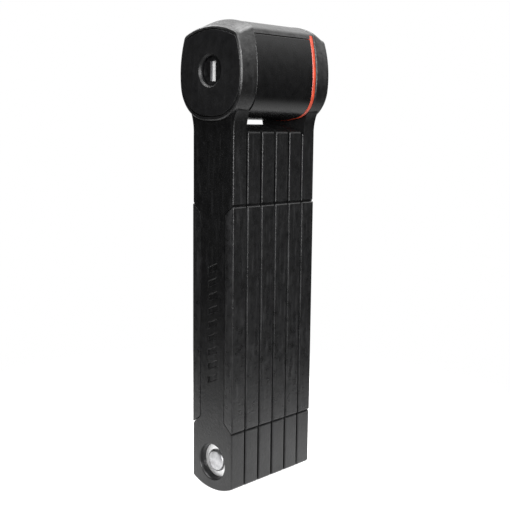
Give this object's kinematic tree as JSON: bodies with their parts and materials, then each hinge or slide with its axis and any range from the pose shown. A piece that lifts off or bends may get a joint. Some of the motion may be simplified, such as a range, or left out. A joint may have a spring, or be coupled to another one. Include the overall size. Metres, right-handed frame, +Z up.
{
  "type": "folding bike lock",
  "caption": "Folding bicycle lock: riveted steel links in plastic coats, a key-operated lock head on the first link and an end cap with a bolt socket on the last.",
  "frame": {"origin": "under the middle of the folded stack, level with the links' lower ends", "axes": "+X across the stack from the key side to the end cap, +Y across a link towards the back, +Z up along the links to the head"},
  "size_m": [0.0538, 0.0386, 0.2017],
  "materials": {
    "coat_plastic": "fine satin texture, black",
    "guard_plastic": "soft-touch, fine grain, black",
    "sleeve_gloss": "satin to gloss, black",
    "face_plastic": "matte, black",
    "ring_red": "satin, orange red",
    "core_steel": "hardened, dark oiled",
    "rivet_steel": "zinc plated, bright",
    "case_steel": "machined",
    "bolt_steel": "ground and plated",
    "cylinder_brass": "turned",
    "plug_dark": "blackened steel"
  },
  "bodies": {
    "lock_head": {"link_1_core": "core_steel", "link_1_coat": "coat_plastic", "link_1_edge_guards": "guard_plastic", "rivet_1_2": "rivet_steel", "washer_link_1": "rivet_steel", "key_face_plate": "face_plastic", "head_sleeve": "sleeve_gloss", "head_top_cover": "sleeve_gloss", "docking_ring": "ring_red", "lock_case": "case_steel", "case_screws": "case_steel", "cylinder_barrel": "plug_dark", "barrel_pin": "case_steel", "bolt_guide": "bolt_steel"},
    "key_plug": {"key_plug": "plug_dark", "plug_clip": "case_steel", "tumbler_discs": "cylinder_brass", "sidebar": "case_steel", "shutter_pin": "case_steel", "shutter_spring": "case_steel", "drive_cam": "case_steel"},
    "shutter": {"keyway_shutter": "bolt_steel"},
    "bolt": {"locking_bolt": "bolt_steel", "bolt_followers": "bolt_steel"},
    "link_2": {"link_2_core": "core_steel", "link_2_coat": "coat_plastic", "link_2_edge_guards": "guard_plastic", "rivet_2_3": "rivet_steel", "spacer_1_2": "rivet_steel"},
    "link_3": {"link_3_core": "core_steel", "link_3_coat": "coat_plastic", "link_3_edge_guards": "guard_plastic", "rivet_3_4": "rivet_steel", "spacer_2_3": "rivet_steel"},
    "link_4": {"link_4_core": "core_steel", "link_4_coat": "coat_plastic", "link_4_edge_guards": "guard_plastic", "rivet_4_5": "rivet_steel", "spacer_3_4": "rivet_steel"},
    "link_5": {"link_5_core": "core_steel", "link_5_coat": "coat_plastic", "link_5_edge_guards": "guard_plastic", "spacer_4_5": "rivet_steel"},
    "link_6": {"link_6_core": "core_steel", "link_6_coat": "coat_plastic", "link_6_edge_guards": "guard_plastic", "rivet_5_6": "rivet_steel", "spacer_5_6": "rivet_steel", "washer_link_6": "rivet_steel", "strike_bush": "bolt_steel", "end_cap_plate": "face_plastic"}
  },
  "joints": [
    {"name": "link_2_hinge", "type": "hinge", "parent": "lock_head", "child": "link_2", "pos_m": [-0.017, 0, 0.0125], "axis": [1, 0, 0], "range_deg": [-180, 180]},
    {"name": "link_3_hinge", "type": "hinge", "parent": "link_2", "child": "link_3", "pos_m": [-0.0085, 0, 0.142], "axis": [1, 0, 0], "range_deg": [-105, 105]},
    {"name": "link_4_hinge", "type": "hinge", "parent": "link_3", "child": "link_4", "pos_m": [0, 0, 0.0125], "axis": [1, 0, 0], "range_deg": [-180, 180]},
    {"name": "link_5_hinge", "type": "hinge", "parent": "link_4", "child": "link_5", "pos_m": [0.0085, 0, 0.142], "axis": [1, 0, 0], "range_deg": [-105, 105]},
    {"name": "link_6_hinge", "type": "hinge", "parent": "link_5", "child": "link_6", "pos_m": [0.017, 0, 0.0125], "axis": [1, 0, 0], "range_deg": [-180, 180]},
    {"name": "key_turn", "type": "hinge", "parent": "lock_head", "child": "key_plug", "pos_m": [-0.015, 0, 0.1806], "axis": [1, 0, 0], "range_deg": [0, 180]},
    {"name": "bolt_slide", "type": "slide", "parent": "lock_head", "child": "bolt", "axis": [1, 0, 0], "range_m": [0, 0.008]},
    {"name": "shutter_flap", "type": "hinge", "parent": "key_plug", "child": "shutter", "pos_m": [-0.0229, -0.0023, 0.1806], "axis": [0, 0, -1], "range_deg": [0, 80], "stiffness_Nm_per_rad": 0.0004, "springref_deg": -20.05}
  ],
  "couplings": [
    {"joint": "key_turn", "follows": "bolt_slide", "rad_per_m": 392.69}
  ]
}
